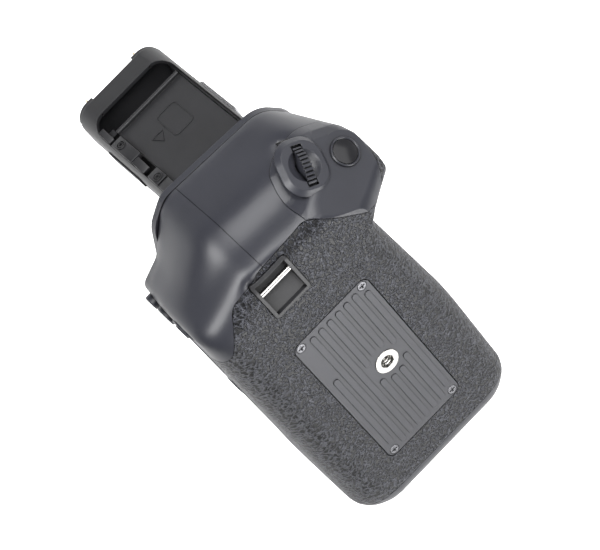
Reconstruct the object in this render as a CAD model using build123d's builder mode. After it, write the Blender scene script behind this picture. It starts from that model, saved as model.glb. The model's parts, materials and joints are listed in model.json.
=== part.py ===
from build123d import *
import math
import os

os.makedirs("parts", exist_ok=True)

# Body, measured from the mouth of the tripod thread; +X is the shutter end, +Y the front
body_height = 50.0
body_left = 59.2
body_right = 81.2
body_rear = 41.0
body_front = 31.6
shoulder_front = 44.3
skin_recess = 0.3

# Walls, seams and fits
wall = 2.4
fit_gap = 0.15
seam_gap = 0.2
slide_gap = 0.3
running_gap = 0.05
overrun = 20.0

# Body outline
end_lean_share = 0.07
front_bow = 0.9
front_bow_x = 5.0
front_bow_radius = 150.0
rear_left_radius = 14.0
front_left_radius = 13.0
bulge_x = 64.0
bulge_radius = 4.0
bulge_end_y = 16.0
bulge_end_radius = 12.0
bulge_start_z = 28.0
bulge_sweep_x = 2.0
bulge_sweep_y = 1.7
dip_share = 0.33
dip_low_depth = 0.5
dip_high_depth = 2.8
dip_radius = 5.0
shoulder_x = 59.2
shoulder_drop = 0.5
shoulder_gap = 6.0
shoulder_sweep = 16.0
shoulder_sweep_height = 10.3
shoulder_radius = 9.0
neck_x = 48.5
neck_depth = 3.4
neck_radius = 9.0
side_roll = 10.0
end_inset = 16.2
run_share = 0.45

# The oblique face that carries the dial and the shutter button
facet_normal = Vector(0.63, 0.40, -0.64).normalized()
facet_distance = 49.23
facet_top = 21.8
facet_end_radius = 12.0
facet_front_radius = 9.9
rim_end_x = 79.6
rim_end_y = 28.5
rim_front_x = 69.0
rim_front_y = 36.0
rim_shoulder_x = 57.0
rim_shoulder_y = 36.3

# Heights of the section levels and how far the +X end draws in at each, as shares
level_shares = (0, 0.008, 0.029, 0.064, 0.109, 0.161, 0.217, 0.261, 0.315, 0.37, 0.435, 0.52, 0.66, 0.83, 1)
inset_shares = (1, 0.84, 0.69, 0.58, 0.50, 0.455, 0.415, 0.36, 0.25, 0.12, 0.015, 0, 0, 0, 0)

# Top plate and its rubber pad
plate_thickness = 3.5
rim_rear = 40.5
rim_notch_x = 46.0
rim_notch_radius = 20.0
rim_bulge_x = 58.5
rim_bulge_y = 38.6
rim_bulge_radius = 3.0
rim_dip_x = 63.8
rim_dip_y = 29.2
rim_dip_radius = 4.0
rim_corner_x = 76.1
rim_corner_y = 23.5
rim_corner_radius = 12.0
rim_end_corner_x = 82.4
rim_end_corner_y = 14.5
rim_end_radius = 8.0
rim_edge = 0.8
pad_length = 102.0
pad_width = 48.0
pad_x = -3.0
pad_y = -5.0
pad_radius = 8.0
pad_thickness = 1.0
pad_recess = 0.5

# Boundary between the grained bottom shell and the smooth end covers, in plan
grain_end_x = 71.5
grain_end_half = 11.5
grain_facet_x = 57.0
grain_facet_y = 27.0
grain_front_x = 52.0
grain_front_y = 35.0
grain_turn_x = 54.5
grain_turn_y = 39.0
grain_shoulder_x = 64.0
grain_rear_x = 50.5
grain_rear_y = 38.0
grain_bend_x = 58.0
grain_bend_y = 33.0
grain_corner_x = 67.0
grain_corner_y = 26.0
grain_radius = 8.0
cover_seam_y = -9.5

# Control panel outline, seen from the end: places in Y and Z
panel_low_y = 11.2
panel_side_y = 10.0
panel_side_z = 13.0
panel_corner_y = 13.8
panel_corner_z = 21.2
panel_top_y = 19.0
panel_top_z = 25.7
panel_crest_y = 28.3
panel_crest_z = 28.0
panel_front_z = 30.3
panel_radius = 14.0

# Magazine end and cavity
door_seam_x = -50.0
cavity_end_x = 41.5
cavity_low_y = -35.5
cavity_high_y = 24.8
cavity_low_z = 9.9
cavity_high_z = 34.5

# Tripod plate and bush
tripod_plate_low_x = -36.5
tripod_plate_high_x = 36.3
tripod_plate_low_y = -21.1
tripod_plate_high_y = 13.1
tripod_plate_radius = 3.0
tripod_plate_gap = 0.35
rib_count = 8
rib_pitch = 3.95
rib_width = 2.3
rib_first_y = 10.2
rib_end_x = 34.3
rib_short_end_x = 31.0
rib_last_start_x = 11.8
rib_clear_radius = 7.2
bush_radius = 4.6
bush_flange = 1.0
bush_barrel_radius = 3.9
bush_bore_radius = 2.55
bush_length = 8.5
bush_bore_length = 8.0
plate_screw_inset = 2.2
plate_screw_inset_y = 2.75
plate_screw_head_radius = 1.75
plate_screw_head_depth = 1.0
plate_screw_radius = 1.0
plate_screw_length = 8.0
cross_length = 2.2
cross_width = 0.55
cross_depth = 0.8

# Strap lug
lug_low_x = 51.7
lug_high_x = 69.8
lug_low_y = -17.5
lug_high_y = -1.8
lug_wall = 1.3
lug_height = 11.0
lug_floor_low = 1.6
lug_floor_high = 8.6
lug_slope_x = 61.0
lug_radius = 1.2
bar_x = 62.6
bar_z = 2.5
bar_radius = 1.1
bar_seat = 0.8

# Tower that stands in for the camera's own battery
tower_low_x = 54.0
tower_high_x = 75.0
tower_low_y = -13.6
tower_high_y = 24.8
tower_top_z = 116.6
tower_radius = 7.0
tower_wall = 1.5
tower_flange = 1.2
tower_flange_height = 2.7
tower_edge = 0.8
window_low_z = 52.0
window_high_z = 107.6
window_radius = 6.0
tower_panel_x = 71.0
tower_panel_thickness = 1.5
tower_panel_low_y = -7.2
tower_panel_high_y = 22.2
tower_panel_top_z = 99.0
tower_panel_lip = 1.4
tower_panel_lip_height = 1.6
bracket_thickness = 2.5
bracket_low_z = 61.5
bracket_high_z = 96.0
bracket_notch_low_z = 69.0
bracket_notch_high_z = 74.5
bracket_width = 4.6
hook_height = 5.5
hook_reach = 3.6
hook_slope = 2.0
hook_low_z = 75.0
hook_high_z = 96.5
hook_width = 3.4
bracket_screw_head_radius = 1.6
bracket_screw_radius = 0.8
bracket_screw_length = 7.0
bracket_screw_head = 0.9
bracket_screw_high_z = 90.3
bracket_screw_low_z = 65.8
bracket_screw_cross_share = 0.6
latch_low_z = 65.0
latch_high_z = 88.0
latch_low_x = 66.5
latch_high_x = 70.3
latch_proud = 0.6
latch_block = 3.0
side_rib_low_z = 78.0
side_rib_high_z = 99.0
side_rib_low_x = 63.0
side_rib_high_x = 67.5
side_rib_proud = 0.6
contact_block_height = 1.2
contact_block_inset = 0.4
contact_block_depth = 3.0
contact_block_low_x = 70.0
contact_block_length = 9.5
contact_blade_height = 1.6
contact_blade_size = 0.5
contact_blade_near_x = 74.0
contact_blade_near_inset = 7.6
contact_blade_far_x = 72.4
contact_blade_far_inset = 4.8

# Mounting screw and its thumbwheel
screw_y = -14.0
wheel_radius = 27.0
wheel_gap = 0.6
scoop_radius = 40.0
scoop_depth = 2.0
scoop_low_z = 38.5
wheel_low_z = 41.2
wheel_height = 4.4
wheel_hub_radius = 5.0
wheel_web = 1.2
wheel_rim = 5.0
wheel_hub_wall = 4.0
wheel_grooves = 44
wheel_groove_width = 1.3
wheel_groove_depth = 0.6
stud_radius = 3.15
stud_neck_radius = 2.7
stud_reach = 5.5
stud_clearance = 0.45
stud_tip = 0.6
pivot_radius = 2.5
pivot_length = 3.2
pin_x = 34.0
pin_radius = 1.75
pin_base_radius = 2.1
pin_reach = 2.5
pin_depth = 6.0
pin_tip = 0.5

# Screws that hold the top plate
top_screw_left_x = -41.0
top_screw_left_rear_y = -33.0
top_screw_left_front_y = 23.0
top_screw_rear_x = 36.0
top_screw_rear_y = -34.0
top_screw_front_x = 34.0
top_screw_front_y = 24.0
top_screw_end_x = 66.0
top_screw_end_y = -22.0
top_screw_shoulder_x = 62.0
top_screw_shoulder_y = 30.0
top_screw_head_radius = 2.2
top_screw_head_depth = 1.4
top_screw_radius = 1.1
top_screw_length = 9.0

# Control dial
dial_y = 23.53
dial_z = 15.09
dial_direction = Vector(-0.544, -0.357, -0.759)
dial_radius = 11.5
dial_depth = 8.8
dial_width = 3.2
dial_slot_gap = 0.35
dial_rim_gap = 0.6
dial_grooves = 50
dial_groove_width = 0.65
dial_groove_depth = 0.6
dial_axle_radius = 1.5
dial_axle_reach = 3.0
dial_pad_length = 20.6
dial_pad_width = 18.4
dial_pad_height = 0.8
dial_pad_radius = 8.0
dial_pad_draft = 1.9
dial_dish_radius = 5.7
dial_dish_depth = 2.0

# Shutter button
button_y = 36.75
button_z = 14.91
button_radius = 4.3
button_gap = 0.15
button_proud = 0.5
button_dish = 0.35
button_travel = 0.7
button_flange = 0.6
button_flange_drop = 0.3
button_flange_height = 0.7
button_stem_radius = 1.5
button_stem_length = 0.8
ring_radius = 5.2
ring_proud = 0.8
ring_edge = 0.3
switch_size = 6.0
switch_height = 1.6
switch_plunger_radius = 1.0
switch_plunger_height = 0.3
switch_gap = 0.1

# Rear buttons and the board behind them
rear_button_x = 57.2
rear_button_z = (42.2, 32.8, 22.2)
rear_button_radii = (2.8, 3.9, 3.1)
rear_button_names = ("rear_button_upper", "rear_button_middle", "rear_button_lower")
rear_button_proud = 1.0
rear_button_gap = 0.25
rear_button_edge = 0.4
rear_button_flange = 0.6
rear_button_flange_height = 0.9
rear_button_drop = 0.2
rear_button_travel = 0.4
rear_ring_radius = 5.0
rear_ring_proud = 0.5
rear_ring_seat = 0.9
rear_switch_size = 4.0
rear_switch_height = 1.4
rear_plunger_radius = 0.8
rear_plunger_height = 0.4
rear_plunger_gap = 0.05
rear_board_thickness = 1.2
rear_board_half = 2.6
rear_board_margin = 3.5
rear_board_low_margin = 4.5

# Main circuit board and magazine terminal
board_x = 46.6
board_thickness = 1.6
board_low_y = -28.0
board_high_y = 20.0
board_low_z = 12.0
board_high_z = 41.0
board_parts_depth = 1.0
terminal_low_y = -13.0
terminal_high_y = 5.0
terminal_low_z = 14.0
terminal_high_z = 30.0
terminal_pin_radius = 0.9
terminal_pin_reach = 0.65
terminal_pin_count = 4
duct_low_y = -3.0
duct_high_y = 13.0
duct_low_z = 34.0
duct_high_x = 66.0

# Magazine
tray_wall = 1.6
battery_width = 38.7
battery_length = 57.2
bay_first_x = -39.6
end_plate_thickness = 2.5
tray_rail_height = 3.0
finger_radius = 9.0
blade_thickness = 0.6
blade_width = 1.2
blade_reach = 1.0
blade_height = 9.0
blade_spacing = 4.0
strip_depth = 0.4
strip_proud = 0.1

# Magazine lock
lock_y = -4.0
lock_z = 23.0
lock_recess_radius = 9.0
lock_recess_depth = 1.2
knob_radius = 8.6
knob_height = 2.6
knob_gap = 0.2
knob_bar_width = 4.0
knob_bar_height = 1.4
knob_edge = 0.4
knob_shaft_radius = 4.0
cam_reach = 15.6
cam_half_width = 3.0
cam_thickness = 2.0
cam_behind_wall = 1.8
cam_lock_wall = 1.5
cam_hub_radius = 5.0
cam_hub_bore = 2.0

shell_top = body_height - plate_thickness - seam_gap
plate_bottom = body_height - plate_thickness
shell_height = shell_top - skin_recess
pad_top = body_height - pad_recess + pad_thickness
wheel_high_z = wheel_low_z + wheel_height
chassis_wall = wall + slide_gap


def block(low, high, mode=Mode.ADD):
    # A box between two opposite corners
    middle = (Vector(*low) + Vector(*high)) / 2
    size = Vector(*high) - Vector(*low)
    with Locations(middle):
        Box(size.X, size.Y, size.Z, mode=mode)


def rounded_outline(corners):
    # Straight runs joined by tangent arcs, for a closed ring of (x, y, radius) corners
    rounds = []
    for index, (x, y, radius) in enumerate(corners):
        corner = Vector(x, y)
        before = Vector(*corners[index - 1][:2]) - corner
        after = Vector(*corners[(index + 1) % len(corners)][:2]) - corner
        half_angle = math.radians(before.get_angle(after)) / 2
        reach = min(radius / math.tan(half_angle), run_share * min(before.length, after.length))
        arc_radius = reach * math.tan(half_angle)
        start = corner + before.normalized() * reach
        end = corner + after.normalized() * reach
        inward = (before.normalized() + after.normalized()).normalized()
        middle = corner + inward * (arc_radius / math.sin(half_angle) - arc_radius)
        rounds.append((start, middle, end))
    for index, (start, middle, end) in enumerate(rounds):
        Line(rounds[index - 1][2], start)
        ThreePointArc(start, middle, end)


def crossing(first, second):
    # Where two plan lines a*x + b*y = c meet
    a, b, c = first
    d, e, f = second
    scale = a * e - b * d
    return (c * e - b * f) / scale, (a * f - c * d) / scale


def inset_corners(corners, depth):
    # The same corners with every side moved inwards by a depth
    sides = []
    for index, (x, y, radius) in enumerate(corners):
        next_x, next_y = corners[(index + 1) % len(corners)][:2]
        length = math.hypot(next_x - x, next_y - y)
        out_x = (next_y - y) / length
        out_y = (x - next_x) / length
        sides.append((out_x, out_y, out_x * x + out_y * y - depth))
    return [(*crossing(sides[index - 1], sides[index]), corner[2]) for index, corner in enumerate(corners)]


def body_corners(rise, inset_share):
    # Corners of the body's section at a height above its lowest level
    roll = max(side_roll - rise, 0)
    draw_in = side_roll - math.sqrt(side_roll**2 - roll**2)
    end_in = end_inset * inset_share
    height = skin_recess + rise
    facet_line = (facet_normal.X, facet_normal.Y, facet_distance - facet_normal.Z * min(height, facet_top))
    end_line = (1, end_lean_share, body_right - end_in)
    sweep = max(draw_in, shoulder_sweep * (1 - rise / shoulder_sweep_height))
    front_line = (0, 1, shoulder_front - sweep)
    facet_end = crossing(end_line, facet_line)
    facet_front = crossing(front_line, facet_line)
    shoulder_reach = min(shoulder_x - sweep / 2, facet_front[0] - shoulder_gap)
    shoulder = (shoulder_reach, shoulder_front - sweep - shoulder_drop)
    blend = max(height - facet_top, 0) / (shell_top - facet_top)
    facet_end, facet_front, shoulder = (
        [near + (far - near) * blend for near, far in zip(corner, rim)]
        for corner, rim in (
            (facet_end, (rim_end_x, rim_end_y)),
            (facet_front, (rim_front_x, rim_front_y)),
            (shoulder, (rim_shoulder_x, rim_shoulder_y)),
        )
    )
    bulge_y = -bulge_end_y + end_in / 5
    bulge_blend = max(height - bulge_start_z, 0) / (shell_top - bulge_start_z)
    bulge = (bulge_x - draw_in - bulge_sweep_x * bulge_blend, -body_rear + draw_in + bulge_sweep_y * bulge_blend)
    bulge_end = (body_right - end_in - end_lean_share * bulge_y, bulge_y)
    side_x = bulge_end[0] - bulge[0]
    side_y = bulge_end[1] - bulge[1]
    dip_depth = dip_low_depth + (dip_high_depth - dip_low_depth) * bulge_blend
    dip_reach = dip_depth / math.hypot(side_x, side_y)
    dip = (bulge[0] + side_x * dip_share - side_y * dip_reach, bulge[1] + side_y * dip_share + side_x * dip_reach)
    return [
        (-body_left + draw_in, -body_rear + draw_in, rear_left_radius - draw_in / 2),
        (bulge[0], bulge[1], bulge_radius),
        (dip[0], dip[1], dip_radius),
        (bulge_end[0], bulge_end[1], bulge_end_radius),
        (facet_end[0], facet_end[1], facet_end_radius),
        (facet_front[0], facet_front[1], facet_front_radius),
        (shoulder[0], shoulder[1], shoulder_radius),
        (neck_x - draw_in / 5, body_front - draw_in - neck_depth, neck_radius),
        (-front_bow_x, body_front + front_bow - draw_in, front_bow_radius),
        (-body_left + draw_in, body_front - draw_in, front_left_radius - draw_in / 2),
    ]


def body_volume(depth):
    # The body's whole outer form, or the same form at a depth inside it
    with BuildPart() as volume:
        for level_share, inset_share in zip(level_shares, inset_shares):
            rise = level_share * shell_height
            with BuildSketch(Plane.XY.offset(skin_recess + rise + depth)):
                with BuildLine():
                    rounded_outline(inset_corners(body_corners(rise, inset_share), depth))
                make_face()
        loft(ruled=True)
    return volume.part


def smooth_cutter(grow):
    # Everything beyond the edge of the grained shell
    front_reach = shoulder_front + overrun
    side_reach = body_right + overrun
    rear_reach = body_rear + overrun
    points = [
        (grain_rear_x, -rear_reach),
        (side_reach, -rear_reach),
        (side_reach, front_reach),
        (grain_shoulder_x + overrun, front_reach),
        (grain_shoulder_x, shoulder_front),
        (grain_turn_x, grain_turn_y),
        (grain_front_x, grain_front_y),
        (grain_facet_x, grain_facet_y),
        (grain_end_x, grain_end_half),
        (grain_end_x, -grain_end_half),
        (grain_corner_x, -grain_corner_y),
        (grain_bend_x, -grain_bend_y),
        (grain_rear_x, -grain_rear_y),
    ]
    with BuildPart() as cutter:
        with BuildSketch(Plane.XY.offset(-overrun)):
            with BuildLine():
                rounded_outline([(x, y, grain_radius) for x, y in points])
            make_face()
            offset(amount=grow, kind=Kind.INTERSECTION)
        extrude(amount=body_height + 2 * overrun)
    return cutter.part


def panel_cutter(grow):
    # The shield outline of the control panel, cut along X
    front_reach = shoulder_front + overrun
    points = [
        (panel_low_y, -overrun),
        (panel_low_y, skin_recess + wall),
        (panel_side_y, panel_side_z),
        (panel_corner_y, panel_corner_z),
        (panel_top_y, panel_top_z),
        (panel_crest_y, panel_crest_z),
        (shoulder_front, panel_front_z),
        (front_reach, panel_front_z),
        (front_reach, -overrun),
    ]
    with BuildPart() as cutter:
        with BuildSketch(Plane.YZ.offset(neck_x)):
            with BuildLine():
                rounded_outline([(y, z, panel_radius) for y, z in points])
            make_face()
            offset(amount=grow, kind=Kind.INTERSECTION)
        extrude(amount=body_right - neck_x + overrun)
    return cutter.part


def half_space(low, high):
    # A box cutter
    with BuildPart() as cutter:
        block(low, high)
    return cutter.part


def rounded_prism(low, high, radius, mode=Mode.ADD):
    # An upright block with rounded vertical edges between two corners
    with BuildSketch(Plane.XY.offset(low[2]), mode=Mode.PRIVATE) as base:
        with Locations(((low[0] + high[0]) / 2, (low[1] + high[1]) / 2)):
            RectangleRounded(high[0] - low[0], high[1] - low[1], radius)
    extrude(base.sketch, amount=high[2] - low[2], mode=mode)


def post(x, y, low_z, high_z, radius, mode=Mode.ADD):
    # An upright cylinder between two heights
    with Locations((x, y, (low_z + high_z) / 2)):
        Cylinder(radius, high_z - low_z, mode=mode)


def cylinder_along(plane, low, high, radius, mode=Mode.ADD):
    # A cylinder on a plane's normal between two distances from it
    with BuildSketch(plane.offset(low), mode=Mode.PRIVATE) as base:
        Circle(radius)
    extrude(base.sketch, amount=high - low, mode=mode)


def cross_recess(plane, length, width, depth):
    # A cross recess sunk into a screw head
    with BuildSketch(plane, mode=Mode.PRIVATE) as cross:
        Rectangle(length, width)
        Rectangle(width, length)
    extrude(cross.sketch, amount=-depth, mode=Mode.SUBTRACT)


def countersunk_screw(plane, head_radius, head_depth, radius, length, recess_share):
    # A cross-head screw whose head lies on the plane and whose shank runs back from it
    with BuildSketch(plane, mode=Mode.PRIVATE) as head:
        Circle(head_radius)
    with BuildSketch(plane.offset(-head_depth), mode=Mode.PRIVATE) as neck:
        Circle(radius)
    loft([head.sketch.face(), neck.sketch.face()])
    extrude(neck.sketch, amount=-(length - head_depth))
    cross_recess(plane, cross_length * recess_share, cross_width * recess_share, cross_depth * recess_share)


outer_volume = body_volume(0)
inner_volume = body_volume(wall)
chassis_volume = body_volume(chassis_wall)
far_side = body_right + overrun
door_side = half_space((-far_side, -far_side, -overrun), (door_seam_x, far_side, body_height))
body_side = half_space((door_seam_x, -far_side, -overrun), (far_side, far_side, shell_top))

with BuildPart() as shell_wall:
    add(outer_volume)
    add(inner_volume, mode=Mode.SUBTRACT)


def on_facet(y, z):
    # The point of the oblique face at a place in Y and Z
    return Vector((facet_distance - facet_normal.Y * y - facet_normal.Z * z) / facet_normal.X, y, z)


# Local planes of the dial and the button; z points out of the oblique face
dial_centre = on_facet(dial_y, dial_z)
button_centre = on_facet(button_y, button_z)
dial_axis = facet_normal.cross(dial_direction).normalized()
dial_plane = Plane(origin=dial_centre, x_dir=facet_normal.cross(dial_axis), z_dir=facet_normal)
dial_hub = dial_centre - facet_normal * dial_depth
dial_hub_plane = Plane(origin=dial_hub, x_dir=facet_normal, z_dir=dial_axis)
button_plane = Plane(origin=button_centre, x_dir=dial_axis, z_dir=facet_normal)
dial_slot_half = dial_width / 2 + dial_slot_gap
dial_slot_radius = dial_radius + dial_rim_gap
wheel_slot_radius = wheel_radius + wheel_gap
wheel_floor_z = wheel_low_z - slide_gap


def wheel_space():
    # Room for the thumbwheel, which also makes its slot in the rear wall
    post(0, screw_y, wheel_floor_z, body_height, wheel_slot_radius, mode=Mode.SUBTRACT)


def lug_space():
    # Room for the strap lug
    grow = seam_gap
    low = (lug_low_x - grow, lug_low_y - grow, -overrun)
    high = (lug_high_x + grow, lug_high_y + grow, lug_height + grow)
    rounded_prism(low, high, lug_radius, mode=Mode.SUBTRACT)


# Grained bottom shell, with a finger scoop at the thumbwheel
with BuildPart() as bottom_shell:
    add(shell_wall.part)
    add(body_side, mode=Mode.INTERSECT)
    add(smooth_cutter(seam_gap), mode=Mode.SUBTRACT)
    rounded_prism(
        (tripod_plate_low_x - tripod_plate_gap, tripod_plate_low_y - tripod_plate_gap, -overrun),
        (tripod_plate_high_x + tripod_plate_gap, tripod_plate_high_y + tripod_plate_gap, skin_recess + wall + fit_gap),
        tripod_plate_radius + tripod_plate_gap,
        mode=Mode.SUBTRACT,
    )
    lug_space()
    wheel_space()
    post(0, scoop_depth - scoop_radius - body_rear, scoop_low_z, body_height, scoop_radius, mode=Mode.SUBTRACT)
bottom_shell.part.label = "bottom_shell"
export_step(bottom_shell.part, "parts/bottom_shell.step")


# Smooth end covers, split behind the strap lug
def rear_button_hole(z, low, radius):
    # A round hole in the rear wall, outwards from a depth below its face
    plane = Plane(origin=(rear_button_x, -body_rear, z), x_dir=(1, 0, 0), z_dir=(0, -1, 0))
    cylinder_along(plane, low, overrun, radius, mode=Mode.SUBTRACT)


def rear_flange_space(z, radius, depth):
    # Room behind the rear wall for a button's flange, down to a depth
    plane = Plane(origin=(rear_button_x, -body_rear, z), x_dir=(1, 0, 0), z_dir=(0, -1, 0))
    cylinder_along(plane, -depth, -wall, radius + rear_button_flange + rear_button_gap, mode=Mode.SUBTRACT)


with BuildPart() as smooth_wall:
    add(shell_wall.part)
    add(smooth_cutter(0), mode=Mode.INTERSECT)

with BuildPart() as rear_end_cover:
    add(smooth_wall.part)
    block((0, cover_seam_y - seam_gap / 2, -overrun), (far_side, far_side, body_height), mode=Mode.SUBTRACT)
    lug_space()
    for rear_z, rear_radius in zip(rear_button_z, rear_button_radii):
        rear_button_hole(rear_z, -chassis_wall, rear_radius + rear_button_gap)
        rear_flange_space(rear_z, rear_radius, overrun)
    rear_button_hole(rear_button_z[-1], -rear_ring_seat, rear_ring_radius)
rear_end_cover.part.label = "rear_end_cover"
export_step(rear_end_cover.part, "parts/rear_end_cover.step")


def dial_space():
    # Room for the dial, which also makes its slot in the panel
    cylinder_along(dial_hub_plane, -dial_slot_half, dial_slot_half, dial_slot_radius, mode=Mode.SUBTRACT)


def dial_pad(low, high, grow, mode=Mode.ADD):
    # The raised pad round the dial between two distances from its face, grown by an amount
    with BuildSketch(dial_plane.offset(low), mode=Mode.PRIVATE) as pad_base:
        RectangleRounded(dial_pad_length + 2 * grow, dial_pad_width + 2 * grow, dial_pad_radius + grow)
    with BuildSketch(dial_plane.offset(high), mode=Mode.PRIVATE) as pad_face:
        RectangleRounded(
            dial_pad_length - 2 * dial_pad_draft + 2 * grow,
            dial_pad_width - 2 * dial_pad_draft + 2 * grow,
            dial_pad_radius - dial_pad_draft + grow,
        )
    loft([pad_base.sketch.face(), pad_face.sketch.face()], mode=mode)


with BuildPart() as front_end_cover:
    add(smooth_wall.part)
    block((0, -far_side, -overrun), (far_side, cover_seam_y + seam_gap / 2, body_height), mode=Mode.SUBTRACT)
    add(panel_cutter(seam_gap), mode=Mode.SUBTRACT)
    lug_space()
    dial_space()
    dial_pad(-dial_pad_height - seam_gap, dial_pad_height + seam_gap, seam_gap, mode=Mode.SUBTRACT)
front_end_cover.part.label = "front_end_cover"
export_step(front_end_cover.part, "parts/front_end_cover.step")

# Control panel with the dial's raised pad, its dish and slot, and the button's hole
axle_half = dial_slot_half + dial_axle_reach
dial_axle_bore = dial_axle_radius + running_gap
dish_sphere = (dial_dish_radius**2 + dial_dish_depth**2) / (2 * dial_dish_depth)
with BuildPart() as control_panel:
    add(smooth_wall.part)
    add(panel_cutter(0), mode=Mode.INTERSECT)
    dial_pad(-dial_pad_height, dial_pad_height, 0)
    with Locations(dial_centre + facet_normal * (dial_pad_height + dish_sphere - dial_dish_depth)):
        Sphere(dish_sphere, mode=Mode.SUBTRACT)
    dial_space()
    cylinder_along(button_plane, -chassis_wall, 0, ring_radius + button_gap + wall)
    cylinder_along(button_plane, -overrun, overrun, ring_radius, mode=Mode.SUBTRACT)
    cylinder_along(dial_hub_plane, -axle_half - fit_gap, axle_half + fit_gap, dial_axle_bore, mode=Mode.SUBTRACT)
control_panel.part.label = "control_panel"
export_step(control_panel.part, "parts/control_panel.step")

# Control dial and its axle
with BuildPart() as control_dial:
    with BuildSketch(dial_hub_plane.offset(-dial_width / 2)):
        Circle(dial_radius)
        with PolarLocations(dial_radius, dial_grooves):
            Rectangle(2 * dial_groove_depth, dial_groove_width, mode=Mode.SUBTRACT)
        Circle(dial_axle_radius + running_gap, mode=Mode.SUBTRACT)
    extrude(amount=dial_width)
control_dial.part.label = "control_dial"
export_step(control_dial.part, "parts/control_dial.step")

with BuildPart() as dial_axle:
    cylinder_along(dial_hub_plane, -axle_half, axle_half, dial_axle_radius)
dial_axle.part.label = "dial_axle"
export_step(dial_axle.part, "parts/dial_axle.step")

# Shutter button, its bright ring and the switch under it
with BuildPart() as shutter_ring:
    cylinder_along(button_plane, -wall, ring_proud, ring_radius)
    cylinder_along(button_plane, -overrun, overrun, button_radius + button_gap, mode=Mode.SUBTRACT)
    ring_rim = shutter_ring.edges().group_by(Axis(button_centre, facet_normal))[-1]
    chamfer(ring_rim, ring_edge)
shutter_ring.part.label = "shutter_ring"
export_step(shutter_ring.part, "parts/shutter_ring.step")

flange_top = -wall - button_flange_drop
flange_bottom = flange_top - button_flange_height
stem_bottom = flange_bottom - button_stem_length
switch_top = stem_bottom - button_travel - switch_gap
dish_radius = (button_radius**2 + button_dish**2) / (2 * button_dish)
with BuildPart() as shutter_button:
    cylinder_along(button_plane, flange_bottom, button_proud, button_radius)
    cylinder_along(button_plane, flange_bottom, flange_top, button_radius + button_flange)
    cylinder_along(button_plane, stem_bottom, flange_bottom, button_stem_radius)
    with Locations(button_centre + facet_normal * (button_proud + dish_radius - button_dish)):
        Sphere(dish_radius, mode=Mode.SUBTRACT)
shutter_button.part.label = "shutter_button"
export_step(shutter_button.part, "parts/shutter_button.step")

switch_base = switch_top - switch_plunger_height - switch_height
with BuildPart() as shutter_switch:
    with BuildSketch(button_plane.offset(switch_base)):
        Rectangle(switch_size, switch_size)
    extrude(amount=switch_height)
    cylinder_along(button_plane, switch_base, switch_top, switch_plunger_radius)
shutter_switch.part.label = "shutter_switch"
export_step(shutter_switch.part, "parts/shutter_switch.step")

# Rear buttons: round caps with a flange behind the wall
rear_wall_inside = -body_rear + wall
rear_flange_y = rear_wall_inside + rear_button_drop
rear_flange_back = rear_flange_y + rear_button_flange_height
for rear_name, rear_z, rear_radius in zip(rear_button_names, rear_button_z, rear_button_radii):
    rear_plane = Plane(origin=(rear_button_x, 0, rear_z), x_dir=(1, 0, 0), z_dir=(0, -1, 0))
    with BuildPart() as rear_button:
        cylinder_along(rear_plane, -rear_flange_back, body_rear + rear_button_proud, rear_radius)
        chamfer(rear_button.edges().group_by(Axis.Y)[0], rear_button_edge)
        cylinder_along(rear_plane, -rear_flange_back, -rear_flange_y, rear_radius + rear_button_flange)
    rear_button.part.label = rear_name
    export_step(rear_button.part, f"parts/{rear_name}.step")

# Raised ring round the lower rear button
ring_z = rear_button_z[-1]
ring_bore = rear_button_radii[-1] + rear_button_gap
rear_ring_plane = Plane(origin=(rear_button_x, 0, ring_z), x_dir=(1, 0, 0), z_dir=(0, -1, 0))
with BuildPart() as rear_button_ring:
    cylinder_along(rear_ring_plane, body_rear - rear_ring_seat, body_rear + rear_ring_proud, rear_ring_radius)
    chamfer(rear_button_ring.edges().group_by(Axis.Y)[0], ring_edge)
    cylinder_along(rear_ring_plane, 0, body_rear + overrun, ring_bore, mode=Mode.SUBTRACT)
rear_button_ring.part.label = "rear_button_ring"
export_step(rear_button_ring.part, "parts/rear_button_ring.step")

# Board with one small switch behind each rear button
plunger_y = rear_flange_back + rear_button_travel + rear_plunger_gap
rear_switch_y = plunger_y + rear_plunger_height
rear_board_y = rear_switch_y + rear_switch_height
rear_board_low_z = min(rear_button_z) - rear_board_low_margin
rear_board_high_z = max(rear_button_z) + rear_board_margin
with BuildPart() as rear_switch_board:
    block(
        (rear_button_x - rear_board_half, rear_board_y, rear_board_low_z),
        (rear_button_x + rear_board_half, rear_board_y + rear_board_thickness, rear_board_high_z),
    )
rear_switch_board.part.label = "rear_switch_board"
export_step(rear_switch_board.part, "parts/rear_switch_board.step")

with BuildPart() as rear_switches:
    for rear_z in rear_button_z:
        block(
            (rear_button_x - rear_switch_size / 2, rear_switch_y, rear_z - rear_switch_size / 2),
            (rear_button_x + rear_switch_size / 2, rear_board_y, rear_z + rear_switch_size / 2),
        )
        switch_plane = Plane(origin=(rear_button_x, 0, rear_z), x_dir=(1, 0, 0), z_dir=(0, -1, 0))
        cylinder_along(switch_plane, -rear_switch_y, -plunger_y, rear_plunger_radius)
rear_switches.part.label = "rear_switches"
export_step(rear_switches.part, "parts/rear_switches.step")

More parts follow.
